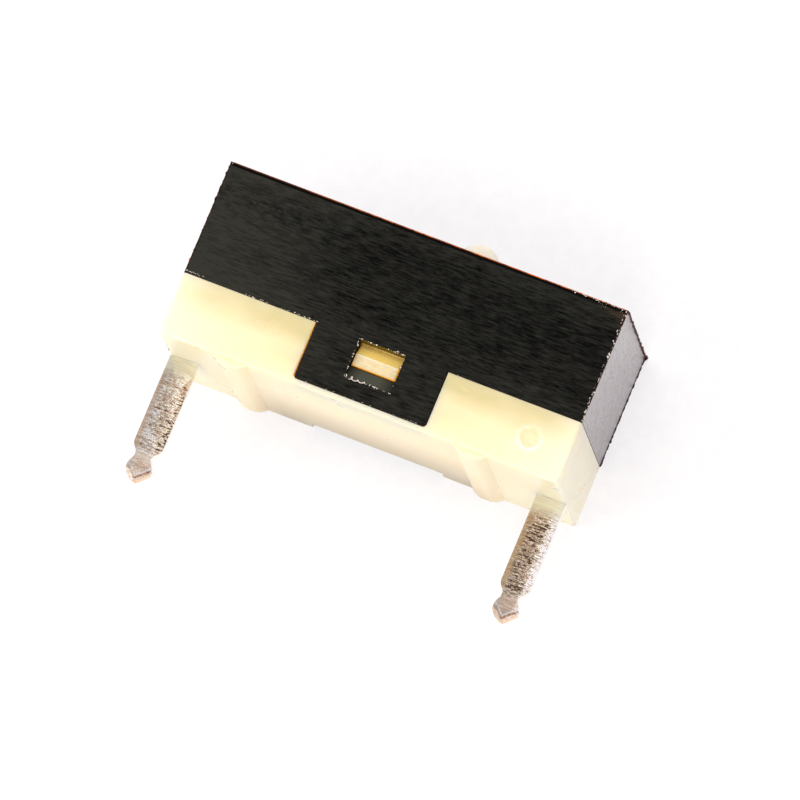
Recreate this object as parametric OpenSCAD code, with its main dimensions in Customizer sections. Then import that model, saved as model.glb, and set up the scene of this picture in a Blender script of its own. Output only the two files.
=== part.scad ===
// Two-terminal snap-action microswitch.
// A cover snaps down over a base. Two flat terminals are moulded into the base, and each ends
// in a solder pin below it. A spring blade rocks on the common terminal, and the round button
// presses it until its contact meets the contact terminal.
// The circuit board's top is z = 0, where the two ridges under the base stand. X runs along the
// case from the common pin to the contact pin, and the latch with the dimple beside it is at -Y.

/* [Case] */
// Length of the case
case_l = 12.8; // [11.4:0.1:16]
// Depth of the case, front to back
case_w = 5.8; // [4.8:0.1:8]
// Height from the underside of the base to the top of the cover
case_h = 5.62; // [5.2:0.02:7]
// Height of the base that shows below the cover
base_h = 1.97; // [1.7:0.01:2.2]
// Thickness of the cover's walls
wall = 0.5; // [0.4:0.02:0.62]
// Clearance between the cover and the base
fit_gap = 0.03; // [0.01:0.01:0.06]
// Radius of the cover's edges
cover_round = 0.06; // [0.02:0.01:0.12]
// Radius of the base's edges
base_round = 0.09; // [0.04:0.01:0.18]

/* [Ridges under the base] */
// Height of the ridges
ridge_h = 0.2; // [0.1:0.02:0.3]
// Width of a ridge where it leaves the base
ridge_w = 1.04; // [0.8:0.02:1.3]
// Width of the flat along the foot of a ridge
ridge_land_w = 0.34; // [0.2:0.02:0.44]
// Place of the ridge beside the common pin
ridge_left_x = -4.1; // [-4.2:0.05:-3]
// Place of the ridge beside the contact pin
ridge_right_x = 3.6; // [3:0.05:4.2]

/* [Snap tabs] */
// Width of the cover's tabs
tab_w = 4.2; // [3.4:0.1:5.2]
// Base left below each tab
tab_lip_h = 0.2; // [0.1:0.02:0.36]
// Radius of a tab's lower corners
tab_round = 0.12; // [0.04:0.02:0.3]
// Width of the window in each tab
window_w = 1.48; // [1.1:0.02:2]
// Place of the windows along the case
window_x = 0.02; // [-0.4:0.02:0.4]
// Height of the tab below its window
sill_h = 0.55; // [0.45:0.01:0.65]
// Height of the bevel on the window's sill
sill_bevel_h = 0.4; // [0.2:0.01:0.48]
// Depth of the bevel on the window's sill
sill_bevel_d = 0.25; // [0.1:0.01:0.3]
// Depth of the latch's face behind the front of the tab
latch_recess = 0.2; // [0.12:0.01:0.28]
// Height of the latch's ramp
latch_ramp_h = 0.4; // [0.2:0.02:0.44]

/* [Pins] */
// Width of the pins, whose outer edges are flush with the ends of the case
pin_w = 0.93; // [0.8:0.01:1.12]
// Thickness of the terminals' metal
pin_t = 0.5; // [0.4:0.01:0.62]
// Length of the pins below the base
pin_l = 3.96; // [3.2:0.01:4.8]
// Width of the flat along the middle of a pin, between its coined bevels
pin_flat_w = 0.4; // [0.3:0.01:0.5]
// Thickness left at a pin's coined edges
pin_edge_t = 0.2; // [0.1:0.01:0.3]
// Width of the neck above the tip
pin_neck_w = 0.53; // [0.45:0.01:0.66]
// Width of the tip
pin_tip_w = 0.78; // [0.7:0.01:0.95]
// Radius that a pin's shoulders round off to above the neck
pin_shoulder_r = 0.37; // [0.25:0.01:0.4]
// Radius of the hollows that form the neck
pin_neck_r = 0.25; // [0.12:0.01:0.3]
// Depth of the slant cut off one lower corner of the round tip
pin_tip_cut = 0.07; // [0.01:0.01:0.1]

/* [Button] */
// Radius of the button and of its domed end
button_r = 0.65; // [0.54:0.01:0.8]
// Height of the button above the cover
button_h = 0.86; // [0.7:0.01:1.05]
// Place of the button along the case
button_x = 1.15; // [0.8:0.05:1.5]
// How far the button goes down
button_travel = 0.5; // [0.4:0.01:0.6]
// Clearance round the button in the cover
button_gap = 0.05; // [0.02:0.01:0.1]
// Radius of the collar under the cover that guides the button
collar_r = 1.1; // [1:0.05:1.3]

/* [Spring blade] */
// Width of the blade
blade_w = 2.5; // [2:0.1:2.9]
// Thickness of the blade
blade_t = 0.1; // [0.06:0.01:0.14]
// Width of the tongue
tongue_w = 0.9; // [0.5:0.05:1]
// Radius that the tongue is bowed to
tongue_bow = 4; // [3.4:0.1:6]
// Radius of the contacts
contact_r = 0.45; // [0.36:0.01:0.54]

/* [Dimple] */
// Radius of the mouth of the moulding dimple on the front of the base
dimple_r = 0.43; // [0.3:0.01:0.5]
// Radius of the dimple's floor
dimple_floor_r = 0.24; // [0.1:0.01:0.28]
// Depth of the dimple
dimple_d = 0.1; // [0.05:0.01:0.16]

/* [Hidden] */

$fn = 64;
eps = 0.01;
touch_gap = 0.02;                          // between pieces that would otherwise rub

base_color = "#fff3c4";
cover_color = "#26262a";
button_color = "#f7f2e2";
pin_color = "#cfc8bd";
spring_color = "#c98a4b";
contact_color = "#d9d9de";

// heights, from the board up
base_z = ridge_h;
shoulder_z = base_z + base_h;              // where the cover's edge rests
cover_z = base_z + case_h;
ceiling_z = cover_z - wall;
tab_z = base_z + tab_lip_h;
sill_z = tab_z + sill_h;
floor_z = shoulder_z - 0.25;               // floor inside the base's rim

// inside of the cover and outside of the rim that stands up in it
inner_l = case_l - 2 * wall;
inner_w = case_w - 2 * wall;
rim_l = inner_l - 2 * fit_gap;
rim_w = inner_w - 2 * fit_gap;
rim_t = 0.35;
rim_h = 0.6;

// button, from the ceiling down to the blade
collar_h = 0.22;
flange_t = 0.3;
flange_r = collar_r + 0.15;
foot_r = 0.3;
foot_h = foot_r + touch_gap;
flange_z = ceiling_z - collar_h - touch_gap;
foot_z = flange_z - flange_t - foot_h;
blade_top = foot_z - touch_gap / 2;
blade_z = blade_top - blade_t;             // underside of the blade
pivot_z = blade_top - blade_t / 2;

// blade: it rocks on the common terminal's notch, and the button is between notch and contact
pivot_x = -(case_l / 2 - wall - 0.78);
contact_x = case_l / 2 - 1.85;
blade_end = 0.65;                          // blade beyond the contact
bar_w = 0.44;                              // cross bar behind the notch
slot_half = pin_t / 2 + 0.35;              // half the opening between the blade's rails
tongue_root_x = button_x + 1.45;
press_angle = asin(button_travel / (button_x - pivot_x));

// seat for the tongue's end, clear of it when the blade is pressed
seat_x = button_x - 3.1;
tongue_drop = 0.85;
tongue_gap = 0.14;
post_w = 0.5;

// contacts: the gap at rest is the drop of the moving contact over the button's travel
head_h = 0.22;
top_head_h = 0.12;
top_head_r = contact_r - 0.1;
rivet_r = 0.22;
fixed_h = 0.25;
fixed_z = pivot_z - (contact_x - pivot_x) * sin(press_angle)
        - (head_h + blade_t / 2) * cos(press_angle) - touch_gap;
shelf_z = fixed_z - fixed_h;

// rest stop: a strip across the blade's end, on two legs
stop_t = 0.25;
stop_w = 0.8;
stop_leg_d = 0.5;
stop_half = blade_w / 2 + 0.4 + stop_t;
stop_z = blade_top + top_head_h + touch_gap;

// terminals
pin_x = case_l / 2 - pin_w / 2;
stem_in = case_l / 2 - pin_w;              // inner edge of a pin
stem_out = case_l / 2 - wall - fit_gap - 0.05;
bar_z = base_z + 1.1;                      // common terminal's bar, buried in the base
bar_h = 0.6;
pin_tip_z = base_z - pin_l;

// ridge section: an arc that is cut off flat at the foot
ridge_r = (pow(ridge_w / 2, 2) - pow(ridge_land_w / 2, 2) + ridge_h * ridge_h) / (2 * ridge_h);
ridge_arc_r = sqrt(ridge_r * ridge_r + pow(ridge_land_w / 2, 2));

dimple_x = case_l / 2 - 1.28;
dimple_z = base_z + 1.01;

// Flat outline with round corners, centred.
module round_rect(w, h, r) {
    square([w - 2 * r, h], center = true);
    square([w, h - 2 * r], center = true);
    for (x = [-1, 1], y = [-1, 1])
        translate([x * (w / 2 - r), y * (h / 2 - r)]) circle(r);
}

// Block on z = 0 with every edge rounded: three round-cornered prisms meet.
module round_block(l, w, h, r) {
    translate([0, 0, h / 2]) intersection() {
        linear_extrude(h, center = true) round_rect(l, w, r);
        rotate([90, 0, 0]) linear_extrude(w, center = true) round_rect(l, h, r);
        rotate([90, 0, 90]) linear_extrude(l, center = true) round_rect(w, h, r);
    }
}

// Prism along Y from an outline drawn in X and Z, centred on y = 0.
module side_prism(depth) {
    rotate([90, 0, 0]) linear_extrude(depth, center = true) children();
}

// Prism along X from an outline drawn in Y and Z, centred on x.
module cross_prism(x, length) {
    translate([x, 0, 0]) rotate([90, 0, 90]) linear_extrude(length, center = true) children();
}

// The child at the front and mirrored at the back.
module front_and_back() {
    children();
    mirror([0, 1, 0]) children();
}

// Plain box given by its two corners.
module corner_box(low, high) {
    translate(low) cube(high - low);
}

// Outline of a tab in X and Z, up past the shoulder, grown by gap.
module tab_outline(gap) {
    top = shoulder_z + wall;
    half = tab_w / 2 + gap;
    low = tab_z - gap;
    translate([0, (low + top) / 2]) intersection() {
        round_rect(2 * half, top - low, tab_round);
        square([2 * half, top - low], center = true);
    }
    translate([-half, shoulder_z - wall]) square([2 * half, 2 * wall]);
}

// Cut through a tab for the latch: its sill is bevelled outwards.
module window_cut() {
    face = -case_w / 2;
    inside = face + wall + eps;
    cross_prism(window_x, window_w)
        polygon([[face - eps, sill_z], [face, sill_z],
                 [face + sill_bevel_d, sill_z + sill_bevel_h], [inside, sill_z + sill_bevel_h],
                 [inside, shoulder_z], [face - eps, shoulder_z]]);
}

// Latch that fills the window: a ramp above a flat face, with a sloped underside.
module latch() {
    face = -case_w / 2 + latch_recess;
    root = -inner_w / 2 + fit_gap + eps;
    bottom = sill_z + sill_bevel_h + touch_gap;
    ridge_z = shoulder_z - touch_gap - latch_ramp_h;
    cross_prism(window_x, window_w - 2 * fit_gap)
        polygon([[root, bottom], [face, bottom], [face, ridge_z],
                 [root, shoulder_z - touch_gap]]);
}

// Ridge along Y with a flat foot on z = 0.
module ridge(x) {
    translate([x, 0, 0]) intersection() {
        side_prism(case_w - 2 * base_round)
            translate([0, ridge_r]) circle(ridge_arc_r);
        corner_box([-ridge_w, -case_w / 2, 0], [ridge_w, case_w / 2, base_z + base_round]);
    }
}

module base_solid() {
    translate([0, 0, base_z]) round_block(case_l, case_w, base_h, base_round);
    // square shoulder, so that the cover's edge meets it all round
    translate([0, 0, shoulder_z - base_round])
        linear_extrude(base_round) round_rect(case_l, case_w, base_round);
    translate([0, 0, shoulder_z - eps])
        linear_extrude(rim_h + eps) round_rect(rim_l, rim_w, base_round);
    ridge(ridge_left_x);
    ridge(ridge_right_x);
}

module base() {
    pocket_l = rim_l - 2 * rim_t;
    pocket_w = rim_w - 2 * rim_t;
    color(base_color) difference() {
        union() {
            difference() {
                base_solid();
                // pockets for the tabs
                front_and_back()
                    translate([0, -(inner_w / 2 - fit_gap) - case_w / 2, 0])
                        side_prism(case_w) tab_outline(fit_gap);
                // the back pocket is open below
                corner_box([-tab_w / 2 - fit_gap, inner_w / 2 - fit_gap, 0],
                           [tab_w / 2 + fit_gap, case_w, tab_z]);
                // pocket that the blade works in
                translate([0, 0, floor_z])
                    linear_extrude(case_h) round_rect(pocket_l, pocket_w, base_round);
            }
            front_and_back() latch();
        }
        // moulding dimple
        translate([dimple_x, -case_w / 2 - eps, dimple_z]) rotate([-90, 0, 0])
            cylinder(h = dimple_d + eps, r1 = dimple_r, r2 = dimple_floor_r);
        common_terminal_solid();
        contact_terminal_solid();
        rest_stop_solid();
    }
}

module cover() {
    color(cover_color) difference() {
        union() {
            difference() {
                translate([0, 0, shoulder_z - cover_round])
                    round_block(case_l, case_w, cover_z - shoulder_z + cover_round, cover_round);
                corner_box([-case_l, -case_w, 0], [case_l, case_w, shoulder_z]);
            }
            intersection() {
                front_and_back()
                    translate([0, -case_w / 2 + wall / 2, 0]) side_prism(wall) tab_outline(0);
                corner_box([-case_l, -case_w, 0], [case_l, case_w, shoulder_z + eps]);
            }
        }
        corner_box([-inner_l / 2, -inner_w / 2, 0], [inner_l / 2, inner_w / 2, ceiling_z]);
        front_and_back() window_cut();
        translate([button_x, 0, ceiling_z - eps]) cylinder(h = 2 * wall, r = button_r + button_gap);
    }
    color(cover_color) translate([button_x, 0, ceiling_z - collar_h]) difference() {
        cylinder(h = collar_h + eps, r = collar_r);
        translate([0, 0, -eps]) cylinder(h = collar_h + wall, r = button_r + button_gap);
    }
}

module button() {
    dome_z = cover_z + button_h - button_r;
    color(button_color) translate([button_x, 0, 0]) {
        translate([0, 0, dome_z]) intersection() {
            sphere(button_r);
            cylinder(h = button_r + eps, r = button_r + eps);
        }
        translate([0, 0, flange_z - eps]) cylinder(h = dome_z - flange_z + eps, r = button_r);
        translate([0, 0, flange_z - flange_t]) cylinder(h = flange_t, r = flange_r);
        // foot across both rails of the blade, with a round lower edge
        intersection() {
            side_prism(blade_w - 0.2)
                translate([0, foot_z + foot_r]) {
                    circle(foot_r);
                    translate([-foot_r, 0]) square([2 * foot_r, foot_h]);
                }
            translate([0, 0, foot_z]) cylinder(h = foot_h + eps, r = flange_r);
        }
    }
}

// Strip along an arc from a to b, drawn in X and Z and bowed downwards.
module bowed_strip(a, b, r, t) {
    chord = norm(b - a);
    middle = (a + b) / 2;
    up = [a.y - b.y, b.x - a.x] / chord;
    centre = middle + up * sqrt(r * r - chord * chord / 4);
    half_angle = asin(chord / 2 / r);
    tilt = atan2(b.y - a.y, b.x - a.x);
    translate(centre) rotate(tilt) intersection() {
        difference() {
            circle(r + t / 2, $fn = 128);
            circle(r - t / 2, $fn = 128);
        }
        polygon([[0, 0], 2 * r * [-sin(half_angle), -cos(half_angle)],
                 2 * r * [sin(half_angle), -cos(half_angle)]]);
    }
}

module snap_blade() {
    left = pivot_x - bar_w;
    right = contact_x + blade_end;
    tongue_tip = [seat_x + tongue_gap, pivot_z - tongue_drop];
    corner_r = 0.2;
    notch_gap = 0.03;
    color(spring_color) {
        translate([0, 0, blade_z]) linear_extrude(blade_t) difference() {
            translate([(left + right) / 2, 0]) round_rect(right - left, blade_w, corner_r);
            translate([pivot_x - notch_gap, -slot_half])
                square([tongue_root_x - pivot_x + notch_gap, 2 * slot_half]);
            translate([contact_x, 0]) circle(rivet_r);
        }
        side_prism(tongue_w)
            bowed_strip(tongue_tip, [tongue_root_x + blade_t / 2, pivot_z], tongue_bow, blade_t);
    }
}

module moving_contact() {
    dome_r = (contact_r * contact_r + head_h * head_h) / (2 * head_h);
    color(contact_color) translate([contact_x, 0, 0]) {
        translate([0, 0, blade_z - eps]) cylinder(h = blade_t + 2 * eps, r = rivet_r);
        translate([0, 0, blade_top]) cylinder(h = top_head_h, r = top_head_r);
        intersection() {
            translate([0, 0, blade_z - head_h + dome_r]) sphere(dome_r);
            translate([0, 0, blade_z - head_h]) cylinder(h = head_h, r = contact_r);
        }
    }
}

module fixed_contact() {
    color(contact_color) translate([contact_x, 0, shelf_z]) cylinder(h = fixed_h, r = contact_r + 0.05);
}

// Solder pin below the base: a flat blank with coined bevels, a hollowed neck and a round tip.
module pin(x) {
    half = pin_w / 2;
    flat = pin_flat_w / 2;
    tip_r = pin_tip_w / 2;
    tip_z = pin_tip_z + tip_r;
    // the hollows' arcs run into the tip's arc and the shoulders' arcs
    hollow_x = pin_neck_w / 2 + pin_neck_r;
    neck_z = tip_z + sqrt(pow(tip_r + pin_neck_r, 2) - hollow_x * hollow_x);
    shoulder_x = half - pin_shoulder_r;
    shoulder_top = neck_z + sqrt(pow(pin_shoulder_r + pin_neck_r, 2) - pow(hollow_x - shoulder_x, 2));
    translate([x, 0, 0]) intersection() {
        side_prism(pin_t) {
            translate([-half, shoulder_top]) square([pin_w, base_z - shoulder_top]);
            for (side = [-1, 1])
                translate([side * shoulder_x, shoulder_top]) circle(pin_shoulder_r);
            difference() {
                polygon([[0, tip_z], [hollow_x, neck_z], [shoulder_x, shoulder_top],
                         [-shoulder_x, shoulder_top], [-hollow_x, neck_z]]);
                for (side = [-1, 1])
                    translate([side * hollow_x, neck_z]) circle(pin_neck_r);
            }
            translate([0, tip_z]) intersection() {
                circle(tip_r);
                rotate(-45) translate([-3 * tip_r - pin_tip_cut, -2 * tip_r]) square(4 * tip_r);
            }
        }
        linear_extrude(4 * pin_l, center = true)
            polygon([[-half, -pin_edge_t / 2], [-flat, -pin_t / 2], [flat, -pin_t / 2],
                     [half, -pin_edge_t / 2], [half, pin_edge_t / 2], [flat, pin_t / 2],
                     [-flat, pin_t / 2], [-half, pin_edge_t / 2]]);
    }
}

// Flat stamping in the plane of the pins: bar in the base, notched post, and tongue seat.
module common_terminal_solid() {
    post_left = pivot_x - 0.1;
    notch_d = 0.14;
    notch_half = 0.24;
    post_top = pivot_z + 0.35;
    seat_top = pivot_z - tongue_drop + 0.25;
    pin(-pin_x);
    side_prism(pin_t) {
        difference() {
            union() {
                translate([-stem_out, base_z - eps]) square([stem_out - stem_in, bar_z + bar_h - base_z]);
                translate([-stem_out, bar_z]) square([seat_x + stem_out, bar_h]);
                translate([post_left, bar_z]) square([post_w, post_top - bar_z]);
                translate([seat_x - post_w, bar_z]) square([post_w, seat_top - bar_z]);
            }
            polygon([[post_left - eps, pivot_z - notch_half], [post_left + notch_d, pivot_z],
                     [post_left - eps, pivot_z + notch_half]]);
        }
    }
}

module common_terminal() {
    color(pin_color) common_terminal_solid();
}

// Stamping with a shelf coined wide at its top for the fixed contact.
module contact_terminal_solid() {
    shelf_l = contact_x - 0.6;
    shelf_t = 0.4;
    shelf_half = 0.65;
    step_w = 0.2;
    step_z = base_z + 0.6;
    pin(pin_x);
    side_prism(pin_t) {
        translate([stem_in - step_w, step_z]) square([stem_out - stem_in + step_w, shelf_z - step_z]);
        translate([stem_in, base_z - eps]) square([stem_out - stem_in, shelf_z - base_z + eps]);
    }
    corner_box([shelf_l, -shelf_half, shelf_z - shelf_t], [stem_out, shelf_half, shelf_z]);
}

module contact_terminal() {
    color(pin_color) contact_terminal_solid();
}

// Strip that the contact's top head rests against while the button is up.
module rest_stop_solid() {
    legs_z = floor_z - stop_leg_d;
    translate([contact_x, 0, 0]) {
        corner_box([-stop_w / 2, -stop_half, stop_z], [stop_w / 2, stop_half, stop_z + stop_t]);
        front_and_back()
            corner_box([-stop_w / 2, -stop_half, legs_z], [stop_w / 2, -stop_half + stop_t, stop_z + eps]);
    }
}

module rest_stop() {
    color(pin_color) rest_stop_solid();
}

base();
cover();
button();
snap_blade();
moving_contact();
common_terminal();
contact_terminal();
fixed_contact();
rest_stop();
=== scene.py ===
import math
import random

import bmesh
import bpy
from mathutils import Matrix, Vector


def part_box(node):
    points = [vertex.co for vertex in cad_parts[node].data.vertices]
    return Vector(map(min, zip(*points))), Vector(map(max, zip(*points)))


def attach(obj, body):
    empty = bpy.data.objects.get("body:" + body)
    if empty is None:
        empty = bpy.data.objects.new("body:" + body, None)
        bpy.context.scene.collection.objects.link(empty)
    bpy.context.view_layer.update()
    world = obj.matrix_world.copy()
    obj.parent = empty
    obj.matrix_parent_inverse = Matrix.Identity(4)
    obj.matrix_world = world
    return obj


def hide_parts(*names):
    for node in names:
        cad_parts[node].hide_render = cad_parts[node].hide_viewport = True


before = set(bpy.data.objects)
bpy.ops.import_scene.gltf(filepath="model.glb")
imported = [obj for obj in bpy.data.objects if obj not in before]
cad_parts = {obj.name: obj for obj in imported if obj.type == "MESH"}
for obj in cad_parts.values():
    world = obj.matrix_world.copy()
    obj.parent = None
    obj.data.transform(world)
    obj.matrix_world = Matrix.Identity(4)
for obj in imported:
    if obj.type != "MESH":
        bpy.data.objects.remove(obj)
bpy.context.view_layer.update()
mm = 0.001
touch = 0.01 * mm            # points this close to a side lie on it
weld = 0.0004 * mm           # points closer than this are one
cutWeld = 0.0001 * mm        # the same along a cut
coplanar = 0.5               # degrees, faces that turn less than this are made one
crisp = 32                   # degrees, least turn of an edge that shows as one
sharp = 40                   # degrees, least turn of an edge that is rounded
print("frame loaded:", len(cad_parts), "nodes")


def linearColour(hexText):
    channels = [int(hexText[i:i + 2], 16) / 255 for i in (1, 3, 5)]
    linear = [c / 12.92 if c <= 0.04045 else ((c + 0.055) / 1.055) ** 2.4 for c in channels]
    return (*linear, 1.0)


def perMm(grains):
    # scale of a pattern whose grains have these sizes in mm
    return [1 / (size * mm) for size in grains]


# adds one node: inputs takes sockets, numbers or hex colours, out picks the output that is returned,
# and with None it is the node itself
def add(tree, kind, inputs=None, out=0, **settings):
    node = tree.nodes.new("ShaderNode" + kind)
    for name, value in settings.items():
        setattr(node, name, value)
    for name, value in (inputs or {}).items():
        if isinstance(value, bpy.types.NodeSocket):
            tree.links.new(value, node.inputs[name])
        else:
            node.inputs[name].default_value = linearColour(value) if isinstance(value, str) else value
    return node if out is None or not node.outputs else node.outputs[out]


def newMaterial(name):
    material = bpy.data.materials.new(name)
    material.use_nodes = True
    material.node_tree.nodes.clear()
    return material, material.node_tree


camera = {
    "lens": 511.6,           # mm on a 36 mm sensor
    "azimuth": 10.94,        # degrees
    "elevation": -10.14,
    "roll": 22.75,
    "aim": (1.108, -2.9, 0.877),     # mm, on the front of the case
    "distance": 335.18,
}


def addCamera(spec):
    azimuth, elevation, roll = (math.radians(spec[k]) for k in ("azimuth", "elevation", "roll"))
    look = Vector((-math.sin(azimuth) * math.cos(elevation), math.cos(azimuth) * math.cos(elevation),
                   -math.sin(elevation)))
    level = Vector((math.cos(azimuth), math.sin(azimuth), 0))
    upright = level.cross(look)
    right = level * math.cos(roll) + upright * math.sin(roll)
    up = right.cross(look)
    data = bpy.data.cameras.new("camera")
    data.sensor_width = 36
    data.lens = spec["lens"]
    data.clip_start = 1 * mm
    data.clip_end = 100
    holder = bpy.data.objects.new("camera", data)
    turn = Matrix((right, up, -look)).transposed().to_4x4()
    place = (Vector(spec["aim"]) - look * spec["distance"]) * mm
    holder.matrix_world = Matrix.Translation(place) @ turn
    bpy.context.scene.collection.objects.link(holder)
    bpy.context.scene.camera = holder


addCamera(camera)
print("camera placed")


studio = {
    "paper": "#f6f4f6",
    "grain": "#fcfafc",
    "fibre": (0.4, 0.4, 0.4),        # mm
    "paperSize": 120,        # mm
    "paperGap": 0.02,        # mm, behind the case
    "ownGlow": 0.6,          # share of the paper's white that shadows don't reach
    "throughGlow": 0.3,      # the same as it lights the case from behind
    "glow": 1.07,
    "fill": 0.62,            # even light from all round
    "fillColour": "#fbf8ff",
    "behindCamera": 0.4,     # how bright the room is where the camera stands
    # power in W, colour, place and size in mm, and mirrored or not, as two would grey the matt front
    "lamps": {
        "key": (0.086, "#fffaf2", (45, -150, -102), 88, True),
        "side": (0.14, "#fffdf8", (-130, -130, -75), 110, False),
        "top": (0.11, "#fffcf4", (-20, -160, 45), 100, False),
    },
}


def addLamp(name, power, colour, place, size, mirrored):
    data = bpy.data.lights.new(name, "AREA")
    data.shape = "DISK"
    data.size = size * mm
    data.energy = power
    data.color = linearColour(colour)[:3]
    lamp = bpy.data.objects.new(name, data)
    place = Vector(place) * mm
    lamp.matrix_world = Matrix.Translation(place) @ (-place).to_track_quat("-Z", "Y").to_matrix().to_4x4()
    lamp.visible_glossy = mirrored
    bpy.context.scene.collection.objects.link(lamp)


def addPaper(spec):
    # the case lies on its back, so the paper is upright just behind it
    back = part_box("cover")[1].y
    bm = bmesh.new()
    bmesh.ops.create_grid(bm, x_segments=2, y_segments=2, size=spec["paperSize"] / 2 * mm)
    bmesh.ops.rotate(bm, verts=bm.verts, cent=(0, 0, 0), matrix=Matrix.Rotation(math.radians(90), 3, "X"))
    bmesh.ops.translate(bm, verts=bm.verts, vec=(0, back + spec["paperGap"] * mm, 0))
    mesh = bpy.data.meshes.new("paper")
    bm.to_mesh(mesh)
    bm.free()
    paper = bpy.data.objects.new("paper", mesh)
    bpy.context.scene.collection.objects.link(paper)
    # bright paper: matt and faintly uneven, part of its white is its own glow
    material, tree = newMaterial("white paper")
    path = add(tree, "LightPath", out=None)
    seen = path.outputs["Is Camera Ray"]
    for ray in ("Is Glossy Ray", "Is Transmission Ray"):
        seen = add(tree, "Math", {0: seen, 1: path.outputs[ray]}, operation="MAXIMUM")
    share = add(tree, "MapRange", {"Value": seen, "To Min": spec["throughGlow"], "To Max": spec["ownGlow"]})
    plain = add(tree, "BsdfDiffuse", {"Color": spec["paper"]})
    here = add(tree, "TexCoord", out=None).outputs["Object"]
    fibres = add(tree, "Mapping", {"Vector": here, "Scale": perMm(spec["fibre"])})
    fibres = add(tree, "TexNoise", {"Vector": fibres, "Scale": 1.0, "Detail": 3.0, "Roughness": 0.6})
    fibres = add(tree, "MapRange", {"Value": fibres, "From Min": 0.35, "From Max": 0.65})
    white = add(tree, "Mix", {0: fibres, 6: spec["grain"], 7: "#ffffff"}, out=2, data_type="RGBA")
    glow = add(tree, "Emission", {"Color": white, "Strength": spec["glow"]})
    front = add(tree, "MixShader", {0: share, 1: plain, 2: glow})
    through = add(tree, "BsdfTransparent")
    side = add(tree, "NewGeometry", out=None).outputs["Backfacing"]
    shader = add(tree, "MixShader", {0: side, 1: front, 2: through})
    add(tree, "OutputMaterial", {"Surface": shader})
    mesh.materials.append(material)


def addWorld(spec):
    world = bpy.data.worlds.new("studio")
    world.use_nodes = True
    tree = world.node_tree
    tree.nodes.clear()
    path = add(tree, "LightPath", out=None)
    seen = add(tree, "Math", {0: path.outputs["Is Camera Ray"], 1: path.outputs["Is Transmission Ray"]},
               operation="MAXIMUM")
    # mirrored rays meet white behind the paper and to the right, and a dimmer room round the camera
    direction = add(tree, "TexCoord", out=None).outputs["Generated"]
    along = add(tree, "SeparateXYZ", {0: direction}, out=None)
    ahead = add(tree, "MapRange", {"Value": along.outputs["Y"], "From Min": -0.75, "From Max": 0.25})
    beside = add(tree, "MapRange", {"Value": along.outputs["X"], "From Min": 0.2, "From Max": 0.7})
    ahead = add(tree, "Math", {0: ahead, 1: beside}, operation="MAXIMUM")
    ahead = add(tree, "MapRange", {"Value": ahead, "To Min": spec["behindCamera"], "To Max": 1.0})
    mirrored = add(tree, "Mix", {0: path.outputs["Is Glossy Ray"], 2: spec["fill"], 3: ahead})
    strength = add(tree, "Mix", {0: seen, 2: mirrored, 3: 1.0})
    colour = add(tree, "Mix", {0: seen, 6: spec["fillColour"], 7: "#ffffff"}, out=2, data_type="RGBA")
    background = add(tree, "Background", {"Color": colour, "Strength": strength})
    add(tree, "OutputWorld", {"Surface": background})
    bpy.context.scene.world = world


addPaper(studio)
addWorld(studio)
for name, lamp in studio["lamps"].items():
    addLamp(name, *lamp)
bpy.context.scene.view_settings.view_transform = "Standard"
print("stage and light placed")


def meshOf(node):
    # a merged copy of a CAD node's mesh, with its flat faces whole again
    bm = bmesh.new()
    bm.from_mesh(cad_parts[node].data)
    bmesh.ops.remove_doubles(bm, verts=bm.verts, dist=weld)
    bmesh.ops.dissolve_limit(bm, angle_limit=math.radians(coplanar), verts=bm.verts, edges=bm.edges,
                             use_dissolve_boundaries=False)
    return bm


def sharpEdges(bm):
    limit = math.radians(sharp)
    return [e for e in bm.edges if len(e.link_faces) == 2 and e.calc_face_angle(0) > limit]


def roundEdges(bm, edges, width, segments=2):
    bmesh.ops.bevel(bm, geom=edges, offset=width * mm, offset_type="OFFSET", segments=segments, profile=0.5,
                    affect="EDGES", clamp_overlap=True, material=-1)


def addPiece(name, bm, body, material, replaced=()):
    for face in bm.faces:
        face.smooth = True
    for edge in bm.edges:
        edge.smooth = edge.calc_face_angle(0) < math.radians(crisp)
    mesh = bpy.data.meshes.new(name)
    bm.to_mesh(mesh)
    bm.free()
    piece = bpy.data.objects.new(name, mesh)
    bpy.context.scene.collection.objects.link(piece)
    mesh.materials.append(material)
    weighted = piece.modifiers.new("flat faces stay flat", "WEIGHTED_NORMAL")
    weighted.keep_sharp = True
    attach(piece, body)
    if replaced:
        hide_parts(*replaced)
    return piece


cover = {
    "edge": 0.018,           # mm, on the edges that the mould leaves sharp
    "topEdge": 0.09,         # mm, on the worn upper front edge
    "shadowStrip": 0.18,       # mm, of the ends kept matt at the back, a painted shadow line
    "chip": 0.16,            # mm, off the corner above the common pin
    "dark": "#000000",
    "light": "#2e2e28",
    "smudge": "#020202",
    "haze": "#5c4632",
    # painted light in the window: amber under the lintel, grey on the sill
    "lintel": "#6a5618",
    "sill": "#4a4c42",
    "bloom": "#5c4a4c",      # of the smooth faces
    "lilac": "#ffdee2",      # of what they mirror
    # painted light on the rounded edges: brown as if lit through, orange as a highlight
    "paintedEdgeBrown": "#1c0803",
    "paintedEdgeHighlight": "#e46a0a",
    "streaks": (0.5, 0.5, 0.065),    # mm, sizes of the patterns' grains
    "clouds": (2.6, 2, 1.1),
    "marks": (0.4, 0.4, 0.2),
    "mottle": (0.16, 0.8, 0.25),
    "tint": (0.3, 0.3, 0.3),
    "tintFrom": 5.7,         # mm, height that the edge tint starts from
    "endFrom": 6.3,          # mm from the middle, where the ends' edges start
    "windowHalf": 0.8,       # mm, half the window's width
    "lintelAt": 2.05,        # mm, the window's lintel lies above this height
    "sillAt": 1.5,           # and its sill below this one
    "bandAt": 4.6,           # mm, height of the handling marks
    "greyFrom": 4.05,        # mm, height that the front grows greyer from, up and down
    "flat": 0.995,           # least part of a normal along its axis on a flat face
}


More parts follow.
